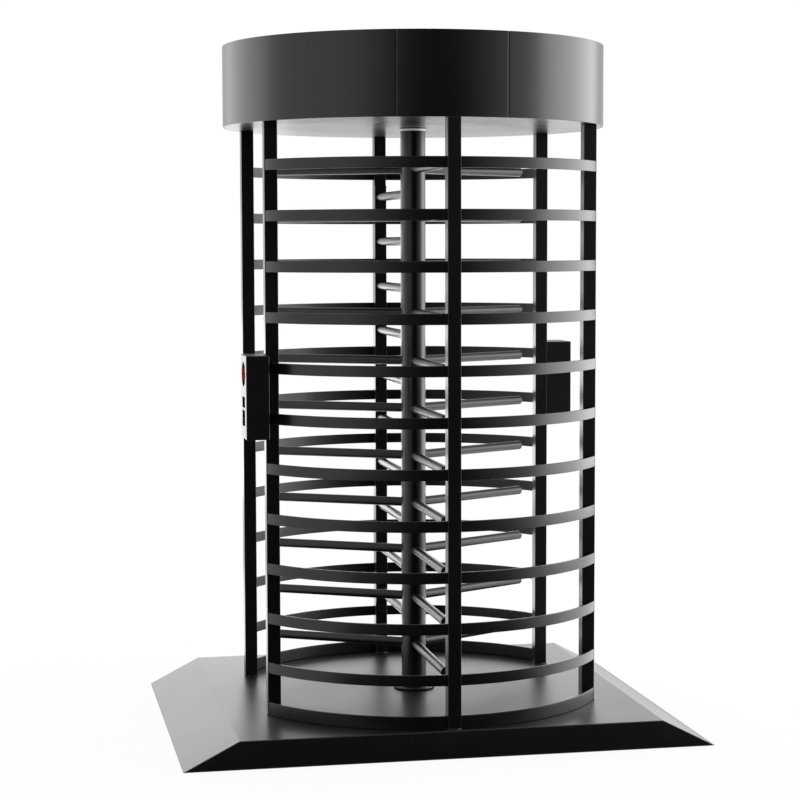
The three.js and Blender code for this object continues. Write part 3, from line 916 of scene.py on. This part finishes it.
# %% Canopy floor
FLOOR_SLACK = 0.5 * MM
FLOOR_EDGE = 0.8 * MM
OPENING_SLACK = 6 * MM
CUT_MARGIN = 10 * MM
floor_radius = canopy_radius - FOLD - FLOOR_SLACK
half_side = math.acos(side_cut / floor_radius)
side_outline = arc_points(floor_radius, -half_side, half_side, steps=96)
side_floor = rounded_sheet("soffit_side_sheets", side_outline, soffit_low, soffit_high)
round_edges(side_floor, FLOOR_EDGE)
stacked(side_floor, soffit_paint, copies=2)
settle(side_floor, "cage", ["soffit_left", "soffit_right"])

half_end = math.asin(end_half / floor_radius)
middle_outline = []
for end in (math.pi / 2, 1.5 * math.pi):
    middle_outline += arc_points(floor_radius, end - half_end, end + half_end, steps=24)
middle_floor = rounded_sheet("soffit_middle_sheet", middle_outline, soffit_low, soffit_high)
opening_radius = SHAFT_RADIUS + OPENING_SLACK
cut_low, cut_high = soffit_low - CUT_MARGIN, soffit_high + CUT_MARGIN
outline = [(0, cut_low), (opening_radius, cut_low), (opening_radius, cut_high), (0, cut_high)]
cutter = lathe("opening_cutter", outline, sides=96)


def cut_away(piece, tool):
    boolean = piece.modifiers.new("cut", "BOOLEAN")
    boolean.operation = "DIFFERENCE"
    boolean.solver = "EXACT"
    boolean.object = tool


cut_away(middle_floor, cutter)
round_edges(middle_floor, FLOOR_EDGE)
settle(middle_floor, "cage", ["soffit_centre"], soffit_paint)
bpy.data.objects.remove(cutter)

# %% [markdown]
# The lid lies inside the fold, so far under its rim that the heads of its screws end just
# below the rim. There is a low screw every fifteen degrees.

# %% Lid and screws
LID_DROP = 1.8 * MM
LID_EDGE = 0.5 * MM
lid_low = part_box("top_cover")[0].z
lid_top = canopy_top - LID_DROP
outline = [(0, lid_low), (floor_radius, lid_low), (floor_radius, lid_top - LID_EDGE)]
outline += [(floor_radius - LID_EDGE, lid_top), (0, lid_top)]
lid = lathe("canopy_lid", outline, sides=192)
true_normals(lid)
settle(lid, "cage", ["top_cover"], canopy_paint)

SCREW_RADIUS = 4.5 * MM
SCREW_INSET = 20 * MM
SOCKET_RADIUS = 1.6 * MM
SCREW_COUNT = 24
outline = [(0, 0), (SCREW_RADIUS, 0), (SCREW_RADIUS * 0.92, 0.9 * MM)]
outline += [(SCREW_RADIUS * 0.6, 1.5 * MM), (SOCKET_RADIUS, 1.6 * MM)]
outline += [(SOCKET_RADIUS, 0.6 * MM), (0, 0.6 * MM)]
screws = lathe("lid_screws", outline, sides=16)
screws.data.transform(Matrix.Translation((canopy_radius - SCREW_INSET, 0, lid_top)))
stacked(screws, zinc, copies=SCREW_COUNT, first_turn=math.pi / SCREW_COUNT)
settle(screws, "cage")

# %% [markdown]
# A reader is a moulded case on the outer face of a post. Its face has a round seat for the
# display and two shallow seats for the reading panes. Both readers are made as if they stood
# on the exit side, facing +X, and the entry one is then turned half a turn. The case's edges
# are rounded as a mould leaves them, and then booleans cut the seats.

# %% Reader cases
CUT_REACH = 20 * MM
DISPLAY_RADIUS = 41 * MM
DISPLAY_DEPTH = 4 * MM
PANES = [(158 * MM, 37 * MM), (211 * MM, 54 * MM)]
PANE_WIDTH = 70 * MM
PANE_DEPTH = 1.6 * MM
CASE_ROUNDING = 3 * MM


class Reader:
    """The sizes of one reader, as it would stand on the exit side."""

    def __init__(self, side):
        self.side = side
        self.turn = Matrix.Rotation(math.pi if side == "entry" else 0, 4, "Z")
        ends = [self.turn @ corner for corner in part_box("reader_housing_" + side)]
        self.low = Vector(map(min, *ends))
        self.high = Vector(map(max, *ends))
        self.middle = (self.low.y + self.high.y) / 2
        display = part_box("reader_display_" + side)
        self.display_z = (display[0].z + display[1].z) / 2
        print(side, rounded(self.low), rounded(self.high))

    def facing_x(self, depth):
        """Turns an upright round piece to face +X, its foot at a depth under the case's face."""
        foot = Matrix.Translation((self.high.x - depth, self.middle, self.display_z))
        return foot @ Matrix.Rotation(math.pi / 2, 4, "Y")

    def pane(self, name, below, height, width, back, front):
        """A block for a pane, between two depths under the case's face."""
        z, half = self.high.z - below, Vector((width, height)) / 2
        low = (self.high.x - back, self.middle - half.x, z - half.y)
        high = (self.high.x - front, self.middle + half.x, z + half.y)
        return block(name, low, high)


def reader_case(reader):
    outline = [(0, 0), (DISPLAY_RADIUS, 0), (DISPLAY_RADIUS, CUT_REACH), (0, CUT_REACH)]
    seat = lathe("seat_cutter", outline, sides=72)
    seat.data.transform(reader.facing_x(DISPLAY_DEPTH))
    cutters = [seat]
    for below, height in PANES:
        depths = (PANE_DEPTH, -CUT_REACH)
        cutters.append(reader.pane("pane_cutter", below, height, PANE_WIDTH, *depths))
    case = block("reader_case_" + reader.side, reader.low, reader.high)
    round_edges(case, CASE_ROUNDING, segments=4)
    for tool in cutters:
        cut_away(case, tool)
    true_normals(case)
    nodes = ["reader_housing_" + reader.side]
    settle(case, "cage", nodes, reader_plastic, reader.turn)
    for tool in cutters:
        bpy.data.objects.remove(tool)


readers = [Reader("exit"), Reader("entry")]
for reader in readers:
    reader_case(reader)

# %% [markdown]
# The display is a dark lens with a rim. The lamps behind it show as dots on its face.

# %% Displays
LENS_RISE = 0.8 * MM
LENS_DROP = 1.2 * MM
DOT_RADIUS = 1.45 * MM
DOT_LATTICE = {"Count": 17, "Span": 68 * MM, "Edge": DISPLAY_RADIUS - 6 * MM, "Arm": 5.2 * MM}


def display_lens(reader):
    face = DISPLAY_DEPTH - LENS_DROP
    outline = [
        (0, 0),
        (DISPLAY_RADIUS - 0.2 * MM, 0),
        (DISPLAY_RADIUS - 0.2 * MM, face + 1.6 * MM),
        (DISPLAY_RADIUS - 1.0 * MM, face + 2.0 * MM),
        (DISPLAY_RADIUS - 2.6 * MM, face + 1.8 * MM),
        (DISPLAY_RADIUS - 3.2 * MM, face),
        (DISPLAY_RADIUS * 0.5, face + LENS_RISE * 0.3),
        (0, face + LENS_RISE * 0.4),
    ]
    lens = lathe("display_lens_" + reader.side, outline, sides=72)
    true_normals(lens)
    nodes = ["reader_display_" + reader.side]
    place = reader.turn @ reader.facing_x(DISPLAY_DEPTH)
    settle(lens, "cage", nodes, display_glass, place)


def lamp_dots(reader, name, lit, material):
    outline = [(0, 0), (DOT_RADIUS, 0), (DOT_RADIUS * 0.7, 0.45 * MM), (0, 0.6 * MM)]
    dots = lathe(f"display_lamps_{name}_{reader.side}", outline, sides=8)
    use_tree(dots, LAMP_MATRIX, Lit=lit, Material=material, **DOT_LATTICE)
    place = reader.turn @ reader.facing_x(LENS_DROP - LENS_RISE * 0.25)
    settle(dots, "cage", (), material, place)


for reader in readers:
    display_lens(reader)
    lamp_dots(reader, "lit", 1.0, lamps_on)
    lamp_dots(reader, "dark", 0.0, lamps_off)

# %% [markdown]
# The two panes under the display are dark plastic glass, set a hair below the case's face.

# %% Reading panes
PANE_SLACK = 0.6 * MM
PANE_DROP = 0.4 * MM
PANE_EDGE = 0.4 * MM
for reader in readers:
    for number, (below, height) in enumerate(PANES):
        name = f"reading_pane_{reader.side}_{number + 1}"
        sizes = (below, height - PANE_SLACK, PANE_WIDTH - PANE_SLACK)
        pane = reader.pane(name, *sizes, PANE_DEPTH, PANE_DROP)
        round_edges(pane, PANE_EDGE)
        settle(pane, "cage", (), window_glass, reader.turn)

# %% [markdown]
# The lock inside the canopy keeps its solids. They get real finishes, because the model may
# be opened up. The solids that a piece replaces get the finish of that piece.

# %% Finishes of the solids
SOLID_FINISHES = [
    (canopy_paint, ("control_box", "fascia", "top_cover")),
    (zinc, ("head_frame", "mechanism_plate", "solenoid")),
    (turned_steel, ("top_bearing", "index_disc", "lock_pawl", "plunger")),
    (platform_paint, ("platform",)),
    (rotor_paint, ("rotor",)),
    (soffit_paint, ("soffit",)),
    (reader_plastic, ("reader_housing",)),
    (display_glass, ("reader_display",)),
]
for name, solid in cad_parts.items():
    chosen = [material for material, starts in SOLID_FINISHES if name.startswith(starts)]
    solid.data.materials.clear()
    solid.data.materials.append(chosen[0] if chosen else frame_paint)
print("finished solids:", len(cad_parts))

# %% [markdown]
# The room is white on all sides and dark in front, behind the camera, as in a studio where
# black cloth hangs round the camera. The cloths only show in reflections: they are what
# makes the faces towards the camera black while the sides shine. The world gives the plain
# level of light and the white background.

# %% World
world = bpy.data.worlds.new("white_room")
world.use_nodes = True
bpy.context.scene.world = world
room = Nodes(world.node_tree)
world.node_tree.nodes.clear()


def seen_directly(nodes):
    """1 for camera, glossy and transmission rays."""
    path = nodes.tree.nodes.new("ShaderNodeLightPath")
    kinds = ("Camera", "Glossy", "Transmission")
    rays = [Socket(nodes, path.outputs[f"Is {kind} Ray"]) for kind in kinds]
    return rays[0].most(rays[1]).most(rays[2])


WORLD_LIGHT = 0.75
strength = seen_directly(room) * (1 - WORLD_LIGHT) + WORLD_LIGHT
light = room.node("ShaderNodeBackground", None, {"Color": grey(1.0), "Strength": strength})
room.node("ShaderNodeOutputWorld", None, {"Surface": light})
print("world light", WORLD_LIGHT)

# %% [markdown]
# The floor is one large pale sheet. Near the gate it takes a little of the gate's shadow. It
# fades to the white of the room farther off, so that no horizon shows.

# %% Floor
FLOOR_HALF = 40
FLOOR_FADE = 4.0
FLOOR_TONE = 0.85
square = [(-1, -1), (1, -1), (1, 1), (-1, 1)]
floor = start("floor", [(x * FLOOR_HALF, y * FLOOR_HALF, 0) for x, y in square], [(0, 1, 2, 3)])
finish = Finish("pale_floor")
finish.tree.nodes.remove(finish.shader)
pale = finish.node("ShaderNodeBsdfDiffuse", None, {"Color": grey(FLOOR_TONE)})
white = finish.node("ShaderNodeEmission", None, {"Color": grey(1.0), "Strength": 1.0})
length = {"operation": "LENGTH"}
away = finish.node("ShaderNodeVectorMath", length, {0: finish.place}, output="Value")
fade = finish.ramp(away / FLOOR_FADE, (0.35, 0.93), (0.8, 1.0))
finish.show_mix(seen_directly(finish) * fade, pale, white)
floor.data.materials.append(finish.material)
print("floor", floor.dimensions[:2])

# %% [markdown]
# Two black cloths: one hangs upright behind the camera, the other lies on the floor from
# there to the plinth. They keep the faces that look at the camera black. Their edges fade
# out, so that the gradients on round pieces stay soft.

# %% Black cloths
CLOTH_MIDDLE = 0.4
CLOTH_REACH = 9.2
CLOTH_Y = -8.5
CLOTH_TOP = 6.0
CLOTH_LIFT = 2 * MM
CLOTH_GAP = 2 * MM


def cloth(name, corners):
    """A black sheet that only reflections see. It fades out to both sides."""
    sheet = start(name, corners, [(0, 1, 2, 3)])
    finish = Finish(name + "_black")
    finish.tree.nodes.remove(finish.shader)
    x = finish.part(finish.place, 0)
    edge = finish.ramp(abs(x - CLOTH_MIDDLE) / CLOTH_REACH, (0.2, 0.0), (1.0, 1.0))
    black = finish.node("ShaderNodeBsdfDiffuse", None, {"Color": grey(0.0)})
    clear = finish.node("ShaderNodeBsdfTransparent")
    sheet.data.materials.append(finish.show_mix(edge, black, clear))
    sheet.visible_camera = False
    sheet.visible_diffuse = False
    sheet.visible_transmission = False
    sheet.visible_volume_scatter = False
    sheet.visible_shadow = False


left, right = CLOTH_MIDDLE - CLOTH_REACH, CLOTH_MIDDLE + CLOTH_REACH
upright = [(left, 0), (right, 0), (right, CLOTH_TOP), (left, CLOTH_TOP)]
cloth("upright_cloth", [(x, CLOTH_Y, z) for x, z in upright])
low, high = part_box("platform")
near = low.y - CLOTH_GAP
lying = [(left, CLOTH_Y), (right, CLOTH_Y), (high.x, near), (low.x, near)]
cloth("floor_cloth", [(x, y, CLOTH_LIFT) for x, y in lying])
print("cloths from", left, "to", right)

# %% [markdown]
# Six soft boxes give the shine. The one on the right lights the right flanks, and the one
# behind on the left the left flanks. Two low ones behind light the lower posts, the deck and
# the ramps. They stay low, because the canopy's floor would mirror a lamp at its height. Two
# more lie on the floor and shine up. Low down, upright faces mirror the floor and not the
# walls, so these two keep the ends of the rails and the flanks bright down to the deck.

# %% Lamps
GATE_MIDDLE = Vector((0, 0, 1.2))
LAMP_LIFT = 4 * MM


def area_lamp(name, width, height, level, place, turn):
    """A soft box. Its level is how bright it looks: 1 is white."""
    data = bpy.data.lights.new(name, "AREA")
    data.shape = "RECTANGLE"
    data.size = width
    data.size_y = height
    data.energy = math.pi * width * height * level
    lamp = bpy.data.objects.new(name, data)
    lamp.matrix_world = Matrix.Translation(place) @ turn
    lamp.visible_camera = False
    bpy.context.scene.collection.objects.link(lamp)
    print(name, rounded(place), "power", round(data.energy))


def soft_lamp(name, bearing, distance, middle, width, height, level):
    """A standing soft box round the gate, turned to the gate's middle."""
    angle = math.radians(bearing)
    place = Vector((math.sin(angle) * distance, -math.cos(angle) * distance, middle))
    turn = (GATE_MIDDLE - place).to_track_quat("-Z", "Y").to_matrix().to_4x4()
    area_lamp(name, width, height, level, place, turn)


def lying_lamp(name, low, high, level):
    """A soft box that lies on the floor between two corners and faces up."""
    place = Vector(((low[0] + high[0]) / 2, (low[1] + high[1]) / 2, LAMP_LIFT))
    face_up = Matrix.Rotation(math.pi, 4, "X")
    area_lamp(name, high[0] - low[0], high[1] - low[1], level, place, face_up)


soft_lamp("right_box", bearing=94, distance=5.0, middle=2.0, width=5.4, height=4.0, level=3.7)
soft_lamp("left_box", bearing=-128, distance=5.0, middle=2.0, width=4.8, height=4.0, level=1.35)
soft_lamp("low_box", bearing=-168, distance=4.5, middle=0.9, width=2.4, height=2.0, level=0.6)
soft_lamp("rear_box", bearing=166, distance=3.0, middle=0.85, width=6.0, height=0.9, level=1.9)
lying_lamp("right_floor_box", (0.93, -0.7), (3.6, 3.2), level=1.65)
lying_lamp("rear_floor_box", (-2.4, 0.72), (0.93, 3.2), level=1.65)
